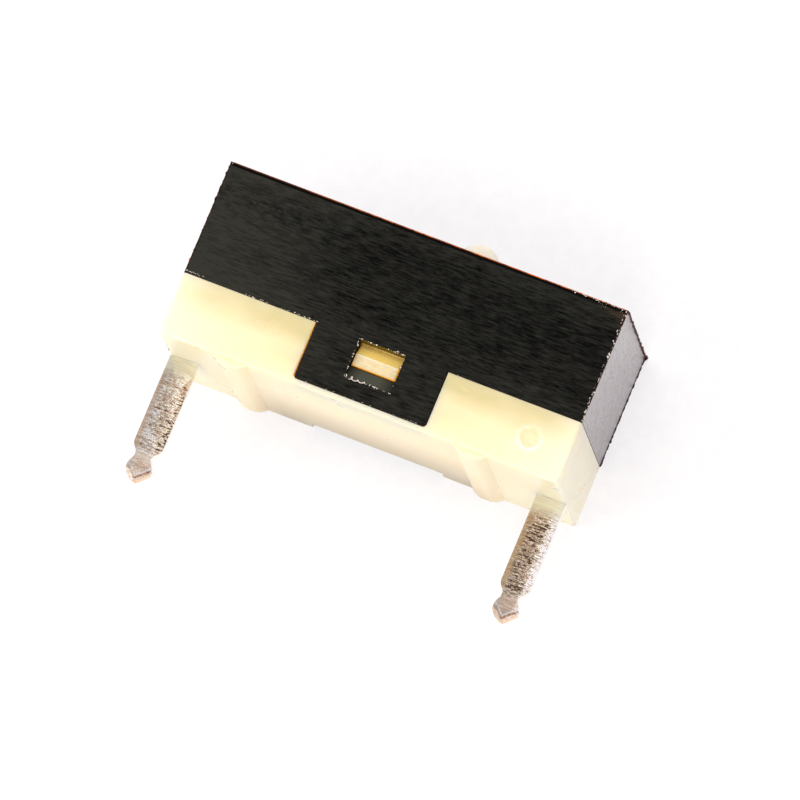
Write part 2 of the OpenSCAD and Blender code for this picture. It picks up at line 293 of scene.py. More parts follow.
def tintEdges(tree, coordinates, colour, spec):
    # painted light: light coming through the thin rounded edges is painted brown, and orange along the top of
    # the front as a painted highlight
    facing = add(tree, "SeparateXYZ", {0: coordinates.outputs["Normal"]}, out=None)
    place = add(tree, "SeparateXYZ", {0: coordinates.outputs["Object"]}, out=None)
    sides = [add(tree, "Math", {0: facing.outputs[i]}, operation="ABSOLUTE") for i in range(3)]
    flattest = add(tree, "Math", {0: sides[0], 1: sides[1]}, operation="MAXIMUM")
    flattest = add(tree, "Math", {0: flattest, 1: sides[2]}, operation="MAXIMUM")
    edge = add(tree, "MapRange", {"Value": flattest, "From Min": spec["flat"], "From Max": 0.95})
    reach = add(tree, "Math", {0: place.outputs["X"]}, operation="ABSOLUTE")
    reach = add(tree, "MapRange", {"Value": reach, "From Min": spec["endFrom"] * mm,
                                   "From Max": (spec["endFrom"] + 0.03) * mm})
    roof = add(tree, "MapRange", {"Value": place.outputs["Z"], "From Min": spec["tintFrom"] * mm,
                                  "From Max": (spec["tintFrom"] + 0.03) * mm})
    outer = add(tree, "Math", {0: reach, 1: roof}, operation="MAXIMUM")
    ahead = add(tree, "MapRange", {"Value": facing.outputs["Y"], "From Min": 0.15, "From Max": 0.1})
    for part in (outer, ahead):
        edge = add(tree, "Math", {0: edge, 1: part}, operation="MULTIPLY")
    glow = add(tree, "MapRange", {"Value": facing.outputs["Z"], "From Min": 0.1, "From Max": 0.4})
    front = add(tree, "MapRange", {"Value": place.outputs["Y"], "From Min": -1.5 * mm, "From Max": -2.8 * mm})
    along = add(tree, "MapRange", {"Value": place.outputs["X"], "From Min": -5.5 * mm, "From Max": 2 * mm,
                                   "To Min": 0.3})
    broken = add(tree, "Mapping", {"Vector": coordinates.outputs["Object"], "Scale": perMm(spec["tint"])})
    broken = add(tree, "TexNoise", {"Vector": broken, "Scale": 1.0, "Detail": 2.0})
    broken = add(tree, "MapRange", {"Value": broken, "From Min": 0.35, "From Max": 0.6, "To Min": 0.35})
    for part in (front, along, broken):
        glow = add(tree, "Math", {0: glow, 1: part}, operation="MULTIPLY")
    brown = add(tree, "Mix", {0: glow, 6: spec["paintedEdgeBrown"], 7: spec["paintedEdgeHighlight"]}, out=2, data_type="RGBA")
    colour = add(tree, "Mix", {0: edge, 6: colour, 7: brown}, out=2, data_type="RGBA")
    # and the front is darkest just below its top
    rim = add(tree, "MapRange", {"Value": place.outputs["Z"], "From Min": (spec["tintFrom"] - 0.02) * mm,
                                 "From Max": (spec["tintFrom"] + 0.01) * mm})
    flat = add(tree, "MapRange", {"Value": facing.outputs["Y"], "From Min": -0.97, "From Max": -0.99})
    rim = add(tree, "Math", {0: rim, 1: flat}, operation="MULTIPLY")
    return add(tree, "Mix", {0: rim, 6: colour, 7: spec["dark"]}, out=2, data_type="RGBA")


def windowLight(tree, place, facing, away, spec):
    # painted light: the latch's amber light on the underside of the window's lintel
    lintel = add(tree, "MapRange", {"Value": facing.outputs["Z"], "From Min": -0.9, "From Max": -0.95})
    above = add(tree, "MapRange", {"Value": place.outputs["Z"], "From Min": spec["lintelAt"] * mm,
                                   "From Max": (spec["lintelAt"] + 0.05) * mm})
    inside = add(tree, "MapRange", {"Value": away, "From Min": (spec["windowHalf"] + 0.02) * mm,
                                    "From Max": spec["windowHalf"] * mm})
    for part in (above, inside):
        lintel = add(tree, "Math", {0: lintel, 1: part}, operation="MULTIPLY")
    # and painted light on its sill, greyer in the middle
    sill = add(tree, "MapRange", {"Value": facing.outputs["Z"], "From Min": 0.3, "From Max": 0.45})
    below = add(tree, "MapRange", {"Value": place.outputs["Z"], "From Min": spec["sillAt"] * mm,
                                   "From Max": (spec["sillAt"] - 0.05) * mm})
    middle = add(tree, "MapRange", {"Value": away, "From Min": spec["windowHalf"] * mm, "From Max": 0.3 * mm})
    for part in (below, middle):
        sill = add(tree, "Math", {0: sill, 1: part}, operation="MULTIPLY")
    return lintel, sill


def mattMaterial(spec):
    # black PBT, moulded: matt, with fine streaks along the case and a few handling marks
    material, tree = newMaterial("matt black moulded PBT")
    coordinates = add(tree, "TexCoord", out=None)
    here = coordinates.outputs["Object"]
    place = add(tree, "SeparateXYZ", {0: here}, out=None)
    facing = add(tree, "SeparateXYZ", {0: coordinates.outputs["Normal"]}, out=None)
    away = add(tree, "Math", {0: place.outputs["X"]}, operation="ABSOLUTE")
    streaks = add(tree, "Mapping", {"Vector": here, "Scale": perMm(spec["streaks"])})
    streaks = add(tree, "TexNoise", {"Vector": streaks, "Scale": 1.0, "Detail": 4.0, "Roughness": 0.8})
    streaks = add(tree, "MapRange", {"Value": streaks, "From Min": 0.3, "From Max": 0.7})
    clouds = add(tree, "Mapping", {"Vector": here, "Scale": perMm(spec["clouds"])})
    clouds = add(tree, "TexNoise", {"Vector": clouds, "Scale": 1.0, "Detail": 3.0, "Roughness": 0.55})
    clouds = add(tree, "MapRange", {"Value": clouds, "To Min": 0.25, "To Max": 0.75})
    # painted sheen: greyer towards the common pin; greyer too near the top and the lower edge
    paintedSheen = add(tree, "MapRange", {"Value": place.outputs["X"], "From Min": -6.4 * mm, "From Max": -1 * mm,
                                   "To Min": 0.68, "To Max": 0.0})
    rim = add(tree, "Math", {0: place.outputs["Z"], 1: -spec["greyFrom"] * mm}, operation="ADD")
    rim = add(tree, "Math", {0: rim}, operation="ABSOLUTE")
    rim = add(tree, "MapRange", {"Value": rim, "From Min": 0.9 * mm, "From Max": 1.7 * mm, "To Max": 0.16})
    level = add(tree, "Math", {0: streaks, 1: 1.0, 2: clouds}, operation="MULTIPLY_ADD")
    for part in (paintedSheen, rim):
        level = add(tree, "Math", {0: level, 1: part}, operation="ADD")
    level = add(tree, "MapRange", {"Value": level, "From Min": 0.74, "From Max": 1.7})
    colour = add(tree, "Mix", {0: level, 6: spec["dark"], 7: spec["light"]}, out=2, data_type="RGBA")
    # the handling marks lie in a band across the middle of the front
    marks = add(tree, "Mapping", {"Vector": here, "Scale": perMm(spec["marks"])})
    marks = add(tree, "TexNoise", {"Vector": marks, "Scale": 1.0, "Detail": 3.0, "Roughness": 0.7})
    marks = add(tree, "MapRange", {"Value": marks, "From Min": 0.48, "From Max": 0.6, "To Max": 0.5})
    band = add(tree, "Math", {0: place.outputs["X"], 1: 0.06, 2: -spec["bandAt"] * mm},
               operation="MULTIPLY_ADD")
    band = add(tree, "Math", {0: band, 1: place.outputs["Z"]}, operation="ADD")
    band = add(tree, "Math", {0: band}, operation="ABSOLUTE")
    band = add(tree, "MapRange", {"Value": band, "From Min": 0.9 * mm, "From Max": 0.2 * mm})
    marks = add(tree, "Math", {0: marks, 1: band}, operation="MULTIPLY")
    # a brown haze in the worn upper corner on the contact's side
    haze = add(tree, "Math", {0: place.outputs["X"], 1: 0.45, 2: place.outputs["Z"]}, operation="MULTIPLY_ADD")
    haze = add(tree, "MapRange", {"Value": haze, "From Min": 8.1 * mm, "From Max": 8.6 * mm, "To Max": 0.8})
    haze = add(tree, "Math", {0: haze, 1: streaks}, operation="MULTIPLY")
    lintel, sill = windowLight(tree, place, facing, away, spec)
    for share, tone in ((marks, "smudge"), (haze, "haze"), (lintel, "lintel"), (sill, "sill")):
        colour = add(tree, "Mix", {0: share, 6: colour, 7: spec[tone]}, out=2, data_type="RGBA")
    colour = tintEdges(tree, coordinates, colour, spec)
    rough = add(tree, "MapRange", {"Value": clouds, "From Min": 0.3, "From Max": 0.7, "To Min": 0.55,
                                   "To Max": 0.7})
    grain = add(tree, "Bump", {"Height": streaks, "Strength": 0.5, "Distance": 0.01 * mm})
    shader = add(tree, "BsdfPrincipled", {"Base Color": colour, "Roughness": rough, "Specular IOR Level": 0.08,
                                          "IOR": 1.58, "Normal": grain})
    add(tree, "OutputMaterial", {"Surface": shader})
    return material


def smoothMaterial(spec):
    # the same PBT where the mould was polished: it mirrors at a slant, over a faint mottled bloom
    material, tree = newMaterial("smooth black moulded PBT")
    coordinates = add(tree, "TexCoord", out=None)
    here = coordinates.outputs["Object"]
    place = add(tree, "SeparateXYZ", {0: here}, out=None)
    mottle = add(tree, "Mapping", {"Vector": here, "Scale": perMm(spec["mottle"])})
    mottle = add(tree, "TexNoise", {"Vector": mottle, "Scale": 1.0, "Detail": 4.0, "Roughness": 0.75})
    mottle = add(tree, "MapRange", {"Value": mottle, "From Min": 0.3, "From Max": 0.7})
    # duller below and to the back
    fall = add(tree, "Math", {0: place.outputs["Z"], 1: place.outputs["Y"]}, operation="SUBTRACT")
    fall = add(tree, "MapRange", {"Value": fall, "From Min": 7.5 * mm, "From Max": 0.5 * mm, "To Min": 0.05,
                                  "To Max": 0.24})
    colour = add(tree, "Mix", {0: mottle, 6: spec["dark"], 7: spec["bloom"]}, out=2, data_type="RGBA")
    colour = tintEdges(tree, coordinates, colour, spec)
    rough = add(tree, "Math", {0: mottle, 1: 0.2, 2: fall}, operation="MULTIPLY_ADD")
    ripple = add(tree, "Bump", {"Height": mottle, "Strength": 1.0, "Distance": 0.02 * mm})
    shader = add(tree, "BsdfPrincipled", {"Base Color": colour, "Roughness": rough, "Specular IOR Level": 1.0,
                                          "Specular Tint": spec["lilac"], "IOR": 1.6, "Normal": ripple,
                                          "Coat Weight": 0.65, "Coat Roughness": 0.15, "Coat Normal": ripple})
    add(tree, "OutputMaterial", {"Surface": shader})
    return material


def coverShell(spec, matt, smooth):
    low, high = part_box("cover")
    bm = meshOf("cover")
    atTop = [e for e in sharpEdges(bm)
             if all(v.co.z > high.z - touch and v.co.y < low.y + touch for v in e.verts)]
    roundEdges(bm, atTop, spec["topEdge"])
    roundEdges(bm, sharpEdges(bm), spec["edge"])
    # a chip off one upper front corner
    corner = Vector((low.x, low.y, high.z))
    slant = Vector((-1, -0.9, 1)).normalized()
    depth = spec["chip"] * 0.5 * mm
    bmesh.ops.bisect_plane(bm, geom=bm.verts[:] + bm.edges[:] + bm.faces[:], dist=cutWeld,
                           plane_co=corner - slant * depth, plane_no=slant, clear_outer=True)
    bmesh.ops.holes_fill(bm, edges=[e for e in bm.edges if e.is_boundary], sides=0)
    # painted shade: the ends are parted, so that a strip of them at the back stays matt and dark, a painted
    # shadow where the case meets the paper
    strip = high.y / mm - spec["shadowStrip"]
    ends = [f for f in bm.faces if abs(f.normal.x) > spec["flat"] and abs(f.verts[0].co.x) > high.x - touch]
    points = dict.fromkeys(v for f in ends for v in f.verts)
    edges = dict.fromkeys(e for f in ends for e in f.edges)
    bmesh.ops.bisect_plane(bm, geom=[*points, *edges, *ends], dist=cutWeld, plane_co=(0, strip * mm, 0),
                           plane_no=(0, 1, 0))
    piece = addPiece("coverShell", bm, "housing", matt, ["cover"])
    piece.data.materials.append(smooth)
    for face in piece.data.polygons:
        spot = face.center / mm
        onEnd = abs(spot.x) > spec["endFrom"] and abs(face.normal.x) > spec["flat"] and spot.y < strip
        if onEnd or face.normal.z > spec["flat"]:
            face.material_index = 1
    return piece


coverShell(cover, mattMaterial(cover), smoothMaterial(cover))
print("cover made")


flash = {
    "pale": "#f2e8da",
    "paleDark": "#3a2a1e",
    "brown": "#5a260e",
    "brownDark": "#090302",
    "patches": (0.06, 0.06, 0.06),   # mm
    "seed": 7,
}


def crumbMaterial(name, light, dark):
    # torn plastic: stressed and rough, its tone changes from crumb to crumb
    material, tree = newMaterial(name)
    here = add(tree, "TexCoord", out=None).outputs["Object"]
    patches = add(tree, "Mapping", {"Vector": here, "Scale": perMm(flash["patches"])})
    patches = add(tree, "TexNoise", {"Vector": patches, "Scale": 1.0, "Detail": 2.0})
    level = add(tree, "MapRange", {"Value": patches, "From Min": 0.42, "From Max": 0.58})
    colour = add(tree, "Mix", {0: level, 6: dark, 7: light}, out=2, data_type="RGBA")
    rough = add(tree, "MapRange", {"Value": patches, "To Min": 0.35, "To Max": 0.6})
    shader = add(tree, "BsdfPrincipled", {"Base Color": colour, "Roughness": rough, "Specular IOR Level": 0.25})
    add(tree, "OutputMaterial", {"Surface": shader})
    return material


def shake(rng, reach, size):
    return Vector([rng.uniform(-reach, reach) * size for _ in range(3)])


def addCrumbs(bm, rng, start, end, gap, size, stretch, stray, share=1.0):
    # a broken row of crumbs along an edge: all sizes in mm, share is how much of the row is there
    start, end = Vector(start), Vector(end)
    along = (end - start).normalized()
    turn = along.to_track_quat("X", "Z").to_matrix().to_4x4()
    travelled = 0.0
    while travelled < (end - start).length:
        radius = rng.uniform(*size)
        keep = rng.random() < share
        offset = shake(rng, stray, radius)
        skew = [rng.uniform(0.7, 1.3) for _ in range(3)]
        if keep:
            place = Matrix.Translation((start + along * travelled + offset) * mm)
            scale = Matrix.Diagonal((radius * stretch * skew[0] * mm, radius * skew[1] * mm,
                                     radius * skew[2] * mm, 1))
            made = bmesh.ops.create_icosphere(bm, subdivisions=1, radius=1, matrix=place @ turn @ scale)
            for vertex in made["verts"]:
                vertex.co += shake(rng, 0.25, radius * mm)
        travelled += gap * rng.uniform(0.5, 1.5)


def addThread(bm, rng, start, length, wave, swing, size):
    # a thread of flash that curls along x and flattens out towards its end: all sizes in mm
    travelled = 0.0
    while travelled < length:
        turn = 2 * math.pi * travelled / wave
        fade = 1 - travelled / length
        radius = rng.uniform(*size)
        offset = Vector((travelled + swing[0] * fade * math.cos(turn), 0, swing[1] * fade * math.sin(turn)))
        made = bmesh.ops.create_icosphere(bm, subdivisions=1, radius=radius * mm,
                                          matrix=Matrix.Translation((Vector(start) + offset) * mm))
        for vertex in made["verts"]:
            vertex.co += shake(rng, 0.2, radius * mm)
        travelled += 0.35 * radius


def addRows(name, bm, rng, rows, material):
    # each row: start, end, gap, least and greatest crumb, stretch, stray, share
    for row in rows:
        addCrumbs(bm, rng, *row)
    return addPiece(name, bm, "housing", material)


def windowFlash(spec, material):
    rng = random.Random(spec["seed"])
    bm = bmesh.new()
    left, right, low, high, face = -0.72, 0.76, 0.95, 2.17, -2.9     # mm, of the window
    addThread(bm, rng, (left - 0.02, face, low + 0.02), 1.1, 0.2, (0.08, 0.06), (0.009, 0.016))
    rows = (
        ((0.1, face, low - 0.01), (right, face, low), 0.05, (0.008, 0.018), 1.5, 0.8, 0.5),
        ((left, face, low), (left, face, high), 0.05, (0.01, 0.026), 1.5, 0.8, 0.4),
        ((left, face, high), (right, face, high), 0.045, (0.008, 0.02), 1.8, 0.8, 0.5),
        ((right - 0.3, face, high + 0.03), (right, face, high), 0.03, (0.012, 0.026), 1.5, 0.9),
        ((right, face, low), (right, face, high), 0.07, (0.008, 0.016), 1.5, 0.6, 0.4),
    )
    return addRows("windowFlash", bm, rng, rows, material)


def edgeNicks(spec, material):
    rng = random.Random(spec["seed"] + 1)
    left, right, front, proud, top, low = -6.36, 6.36, -2.87, -2.89, 5.79, 2.2     # mm
    rows = (
        # on the corner at the contact's end, and below it
        ((right, proud, low), (right, proud, top), 0.03, (0.006, 0.024), 1.4, 2),
        ((4.6, proud, top), (right, proud, top), 0.03, (0.006, 0.022), 1.5, 2, 0.8),
        ((5.5, -2.9, top - 0.07), (right, -2.9, top - 0.1), 0.025, (0.005, 0.013), 1.2, 6, 0.8),
        # along the lower edge
        ((left, front, low), (-2.1, proud, low - 0.02), 0.09, (0.006, 0.016), 2, 1, 0.5),
        ((-4.4, proud, low), (-2.1, proud, low), 0.04, (0.008, 0.02), 1.8, 1, 0.45),
        ((left, proud, low + 0.05), (left + 0.55, proud, low + 0.04), 0.025, (0.01, 0.02), 1.6, 1, 0.8),
        ((2.1, proud, low - 0.02), (right, front, low), 0.09, (0.006, 0.016), 2, 1, 0.5),
        ((-2, -2.9, 0.4), (2, -2.9, 0.4), 0.08, (0.006, 0.014), 1.8, 1, 0.4),
        # on the chipped corner
        ((left, front, top - 0.2), (left + 0.05, front, top), 0.03, (0.01, 0.02), 1.4, 1),
    )
    return addRows("edgeNicks", bmesh.new(), rng, rows, material)


def edgeBurrs(spec, material):
    rng = random.Random(spec["seed"] + 2)
    left, right, front, back, top, low = -6.37, 6.395, -2.87, 2.86, 5.785, 2.2     # mm
    rows = (
        # round the contact's end
        ((right, front, top), (right, back, top), 0.045, (0.026, 0.042), 2.0, 0.4),
        # partly painted shade: this dark row also stands for the shadow along the back edge, where the case
        # meets the paper
        ((right, back, top), (right, back, low), 0.06, (0.02, 0.032), 3.0, 0.25, 0.8),
        ((right, back, top - 0.02), (right, back, top + 0.02), 0.02, (0.06, 0.08), 1.1, 0.2),
        # round the other end
        ((left, front, low), (left, front, top), 0.06, (0.018, 0.034), 2.2, 0.5),
        ((left, -1.9, 0.22), (left, -0.4, 0.22), 0.09, (0.01, 0.026), 1.6, 0.6, 0.6),
        ((left, back, low), (left, back, top), 0.07, (0.014, 0.028), 2.2, 0.5),
        ((left, front, top), (left, back, top), 0.07, (0.014, 0.03), 2.2, 0.5),
        # along the top
        ((left, front, top), (6.3, front, top), 0.06, (0.012, 0.024), 3, 0.4, 0.8),
        ((left, back, top), (right, back, top), 0.08, (0.01, 0.02), 3, 0.4, 0.6),
    )
    return addRows("edgeBurrs", bmesh.new(), rng, rows, material)


paleCrumbs = crumbMaterial("torn edge of black PBT", flash["pale"], flash["paleDark"])
brownCrumbs = crumbMaterial("thin edge of black PBT", flash["brown"], flash["brownDark"])
windowFlash(flash, paleCrumbs)
edgeNicks(flash, paleCrumbs)
edgeBurrs(flash, brownCrumbs)
print("flash and burrs made")


base = {
    "edge": 0.03,            # mm, on the edges that the mould leaves sharp
    "corner": 0.1,           # mm, on the four upright ones
    "cream": "#fff7e6",
    "glow": "#fff2d6",
    "honey": "#ffedc6",      # painted shade towards the middle, beside the tabs, and a little on the underside
    "amber": "#d8ca98",
    # the latch's ramp, painted golden as painted light
    "ramp": "#ffd878",
    "land": "#e2cca0",
    "crest": "#fff4d6",      # along the latch's ridge as a painted highlight, and in its scratches
    "rim": "#e8981c",        # round the latch as painted shade, and in the gap beside the tab as painted light
    "underShade": "#b2a588",
    "gloss": "#ffeac0",      # of what it mirrors
    # painted highlight on the dimple's wall and painted shade on its floor
    "ringWall": "#ffffff",   # of the dimple
    "ringFloor": "#f0e4b8",
    "clouds": (1.8, 1.8, 0.9),       # mm, sizes of the patterns' grains
    "scratches": (0.2, 0.2, 0.05),
    "grit": (0.09, 0.09, 0.09),
    "tabHalf": 2.1,          # mm, half the width of the cover's tab
    "latchHalf": 0.65,       # the same for the latch's face without its rim
    "latchLow": 1.42,        # mm, height of the face's lower end
    "crestAt": 1.75,         # mm, height of the latch's ridge
    "dimple": (5.12, 1.21),  # mm, its centre along the case and its height
    "dimpleWall": (0.46, 0.36),      # mm, radii between which its colour comes in
    "dimpleFloor": (0.34, 0.26),
    "roughness": 0.2,
    "scatter": 0.8,          # mm that light travels in the plastic
}


def amberShade(tree, place, away, clouds, spec):
    # painted shade: amber grows up to the cover's edge, least at the ends and most beside the tabs
    high = add(tree, "MapRange", {"Value": place.outputs["Z"], "From Min": 0.7 * mm, "From Max": 2.2 * mm},
               interpolation_type="SMOOTHERSTEP")
    inward = add(tree, "MapRange", {"Value": away, "From Min": 6.4 * mm, "From Max": 5.2 * mm, "To Min": 0.25,
                                    "To Max": 0.95}, interpolation_type="SMOOTHSTEP")
    beside = add(tree, "MapRange", {"Value": away, "From Min": 3.0 * mm, "From Max": spec["tabHalf"] * mm,
                                    "To Max": 0.3})
    inward = add(tree, "Math", {0: inward, 1: beside}, operation="ADD")
    shade = add(tree, "Math", {0: high, 1: inward}, operation="MULTIPLY")
    tabward = add(tree, "MapRange", {"Value": away, "From Min": 4.6 * mm, "From Max": 2.3 * mm, "To Max": 0.36})
    raised = add(tree, "MapRange", {"Value": place.outputs["Z"], "From Min": 0.3 * mm, "From Max": 0.9 * mm})
    tabward = add(tree, "Math", {0: tabward, 1: raised}, operation="MULTIPLY")
    shade = add(tree, "Math", {0: shade, 1: tabward}, operation="MAXIMUM")
    speckle = add(tree, "MapRange", {"Value": clouds, "From Min": 0.35, "From Max": 0.65, "To Min": 0.75,
                                     "To Max": 1.15})
    return add(tree, "Math", {0: shade, 1: speckle}, operation="MULTIPLY")


def latchColour(tree, here, place, away, spec):
    # the latch behind the tab's window: scratched pale face, with its ramp painted golden as painted light, a
    # painted highlight along its ridge and painted orange shade round it
    scratches = add(tree, "Mapping", {"Vector": here, "Rotation": (0, math.radians(35), 0),
                                      "Scale": perMm(spec["scratches"])})
    scratches = add(tree, "TexNoise", {"Vector": scratches, "Scale": 1.0, "Detail": 2.0})
    scratches = add(tree, "MapRange", {"Value": scratches, "From Min": 0.45, "From Max": 0.7, "To Max": 0.3})
    face = add(tree, "Mix", {0: scratches, 6: spec["land"], 7: spec["crest"]}, out=2, data_type="RGBA")
    steep = add(tree, "MapRange", {"Value": place.outputs["Z"], "From Min": (spec["crestAt"] - 0.02) * mm,
                                   "From Max": (spec["crestAt"] + 0.04) * mm})
    crest = add(tree, "Math", {0: place.outputs["Z"], 1: -spec["crestAt"] * mm}, operation="ADD")
    crest = add(tree, "Math", {0: crest}, operation="ABSOLUTE")
    crest = add(tree, "MapRange", {"Value": crest, "From Min": 0.03 * mm, "From Max": 0.0})
    rim = add(tree, "MapRange", {"Value": away, "From Min": spec["latchHalf"] * mm,
                                 "From Max": (spec["latchHalf"] + 0.04) * mm})
    below = add(tree, "MapRange", {"Value": place.outputs["Z"], "From Min": spec["latchLow"] * mm,
                                   "From Max": (spec["latchLow"] - 0.04) * mm})
    rim = add(tree, "Math", {0: rim, 1: below}, operation="MAXIMUM")
    for share, tone in ((steep, "ramp"), (crest, "crest"), (rim, "rim")):
        face = add(tree, "Mix", {0: share, 6: face, 7: spec[tone]}, out=2, data_type="RGBA")
    return face


def dimpleRing(tree, place, grit, spec):
    # painted highlight and shade: the dimple's slanting wall is painted pale, most on its lower side, and its
    # floor beige as painted shade
    across = add(tree, "Math", {0: place.outputs["X"], 1: -spec["dimple"][0] * mm}, operation="ADD")
    up = add(tree, "Math", {0: place.outputs["Z"], 1: -spec["dimple"][1] * mm}, operation="ADD")
    radius = add(tree, "Math", {0: up, 1: 2}, operation="POWER")
    radius = add(tree, "Math", {0: across, 1: across, 2: radius}, operation="MULTIPLY_ADD")
    radius = add(tree, "Math", {0: radius}, operation="SQRT")
    ahead = add(tree, "MapRange", {"Value": place.outputs["Y"], "From Min": -2.7 * mm, "From Max": -2.75 * mm})
    wall = add(tree, "MapRange", {"Value": radius, "From Min": spec["dimpleWall"][0] * mm,
                                  "From Max": spec["dimpleWall"][1] * mm, "To Max": 0.5})
    leeward = add(tree, "MapRange", {"Value": up, "From Min": 0.25 * mm, "From Max": -0.2 * mm, "To Min": 0.3})
    for part in (leeward, ahead):
        wall = add(tree, "Math", {0: wall, 1: part}, operation="MULTIPLY")
    floor = add(tree, "MapRange", {"Value": radius, "From Min": spec["dimpleFloor"][0] * mm,
                                   "From Max": spec["dimpleFloor"][1] * mm})
    worn = add(tree, "MapRange", {"Value": grit, "From Min": 0.4, "From Max": 0.6, "To Min": 0.6})
    for part in (worn, ahead):
        floor = add(tree, "Math", {0: floor, 1: part}, operation="MULTIPLY")
    return wall, floor


def baseMaterial(spec):
    # natural PBT, moulded: cream, waxy and translucent, with amber painted as shade where little light gets in
    # under the cover
    material, tree = newMaterial("natural moulded PBT")
    coordinates = add(tree, "TexCoord", out=None)
    here = coordinates.outputs["Object"]
    place = add(tree, "SeparateXYZ", {0: here}, out=None)
    facing = add(tree, "SeparateXYZ", {0: coordinates.outputs["Normal"]}, out=None)
    away = add(tree, "Math", {0: place.outputs["X"]}, operation="ABSOLUTE")
    clouds = add(tree, "Mapping", {"Vector": here, "Scale": perMm(spec["clouds"])})
    clouds = add(tree, "TexNoise", {"Vector": clouds, "Scale": 1.0, "Detail": 2.0})
    colour = add(tree, "Mix", {0: clouds, 6: spec["cream"], 7: spec["glow"]}, out=2, data_type="RGBA")
    # painted shade: warmer towards the middle; the underside a little warmer too
    honey = add(tree, "MapRange", {"Value": away, "From Min": 8.2 * mm, "From Max": 4.4 * mm})
    under = add(tree, "MapRange", {"Value": facing.outputs["Z"], "From Min": -0.4, "From Max": -0.9,
                                   "To Max": 0.15})
    honey = add(tree, "Math", {0: honey, 1: under}, operation="MAXIMUM")
    colour = add(tree, "Mix", {0: honey, 6: colour, 7: spec["honey"]}, out=2, data_type="RGBA")
    shade = amberShade(tree, place, away, clouds, spec)
    colour = add(tree, "Mix", {0: shade, 6: colour, 7: spec["amber"]}, out=2, data_type="RGBA")
    near = add(tree, "MapRange", {"Value": away, "From Min": (spec["tabHalf"] + 0.04) * mm,
                                  "From Max": spec["tabHalf"] * mm})
    above = add(tree, "MapRange", {"Value": place.outputs["Z"], "From Min": 0.4 * mm, "From Max": 0.45 * mm})
    inside = add(tree, "Math", {0: near, 1: above}, operation="MULTIPLY")
    face = latchColour(tree, here, place, away, spec)
    colour = add(tree, "Mix", {0: inside, 6: colour, 7: face}, out=2, data_type="RGBA")
    # close to the cover little light comes back out
    shallow = add(tree, "MapRange", {"Value": place.outputs["Z"], "From Min": 1.6 * mm, "From Max": 2.1 * mm,
                                     "To Max": 0.75})
    shallow = add(tree, "Math", {0: inside, 1: shallow}, operation="MAXIMUM")
    depthOfLight = add(tree, "MapRange", {"Value": shallow, "To Min": 0.75, "To Max": 0.25})
    # painted light of the gap beside the tab, on the side away from the contact
    slot = add(tree, "MapRange", {"Value": place.outputs["X"], "From Min": -(spec["tabHalf"] + 0.08) * mm,
                                  "From Max": -(spec["tabHalf"] + 0.03) * mm})
    outside = add(tree, "Math", {0: 1.0, 1: near}, operation="SUBTRACT")
    left = add(tree, "MapRange", {"Value": place.outputs["X"], "From Min": 0.0, "From Max": -0.1 * mm})
    for part in (above, outside, left):
        slot = add(tree, "Math", {0: slot, 1: part}, operation="MULTIPLY")
    grit = add(tree, "Mapping", {"Vector": here, "Scale": perMm(spec["grit"])})
    grit = add(tree, "TexNoise", {"Vector": grit, "Scale": 1.0, "Detail": 2.0})
    wall, floor = dimpleRing(tree, place, grit, spec)
    # painted shade: darker towards the back of the underside, between the ridges
    depth = add(tree, "MapRange", {"Value": place.outputs["Y"], "From Min": -0.8 * mm, "From Max": 2.6 * mm,
                                   "To Max": 0.95})
    middle = add(tree, "MapRange", {"Value": away, "From Min": 4.2 * mm, "From Max": 3.0 * mm})
    depth = add(tree, "Math", {0: depth, 1: middle}, operation="MULTIPLY")
    for share, tone in ((slot, "rim"), (wall, "ringWall"), (floor, "ringFloor"), (depth, "underShade")):
        colour = add(tree, "Mix", {0: share, 6: colour, 7: spec[tone]}, out=2, data_type="RGBA")
    bump = add(tree, "Bump", {"Height": grit, "Strength": 0.3, "Distance": 0.004 * mm})
    rough = add(tree, "MapRange", {"Value": clouds, "From Min": 0.3, "From Max": 0.7,
                                   "To Min": spec["roughness"] - 0.06, "To Max": spec["roughness"] + 0.08})
    rough = add(tree, "Math", {0: under, 1: 0.8, 2: rough}, operation="MULTIPLY_ADD")
    shader = add(tree, "BsdfPrincipled", {
        "Base Color": colour, "Roughness": rough, "IOR": 1.55, "Specular Tint": spec["gloss"],
        "Normal": bump, "Subsurface Weight": depthOfLight, "Subsurface Radius": (1.0, 0.8, 0.4),
        "Subsurface Scale": spec["scatter"] * mm})
    add(tree, "OutputMaterial", {"Surface": shader})
    return material


def baseBody(spec, material):
    bm = meshOf("base")
    low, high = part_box("base")
    corners = [e for e in sharpEdges(bm) if all(min(v.co.x - low.x, high.x - v.co.x) < touch and
                                                min(v.co.y - low.y, high.y - v.co.y) < touch for v in e.verts)]
    roundEdges(bm, corners, spec["corner"], 3)
    roundEdges(bm, sharpEdges(bm), spec["edge"])
    return addPiece("baseBody", bm, "housing", material, ["base"])


creamPbt = baseMaterial(base)
baseBody(base, creamPbt)
print("base made")


pins = {
    "bright": "#fffcf6",
    "tin": "#efe4d4",
    "khaki": "#cbb29c",
    "worn": "#fcefde",       # on the tip
    "score": "#5e4632",
    "paintedLeftReflection": "#c0a484",       # a painted reflection on the bevel to the left
    "paintedBaseReflection": "#f8f5dc",        # a painted reflection of the cream base, close to it
    "glint": "#ffffff",      # a painted highlight inside the V of the tip's coining
    "bronze": "#a8683a",     # along the V
    "copper": "#f4cca0",     # at the cut end
    "scores": (0.9, 0.9, 0.035),     # mm, sizes of the patterns' grains
    "pits": (0.13, 0.13, 0.055),
    "patches": (0.6, 0.6, 0.4),
    "tilt": 4,               # degrees, of the scores and pits
    "width": 0.93,           # mm
    "thickness": 0.5,
    "tipRadius": 0.39,
    "tipFrom": -2.7,         # mm, height that the tip begins at
    "ridge": 0.24,           # mm from the tip's centre to the ridges of its coining
    "vLine": 0.05,           # mm, half the width of the lines along the V
}


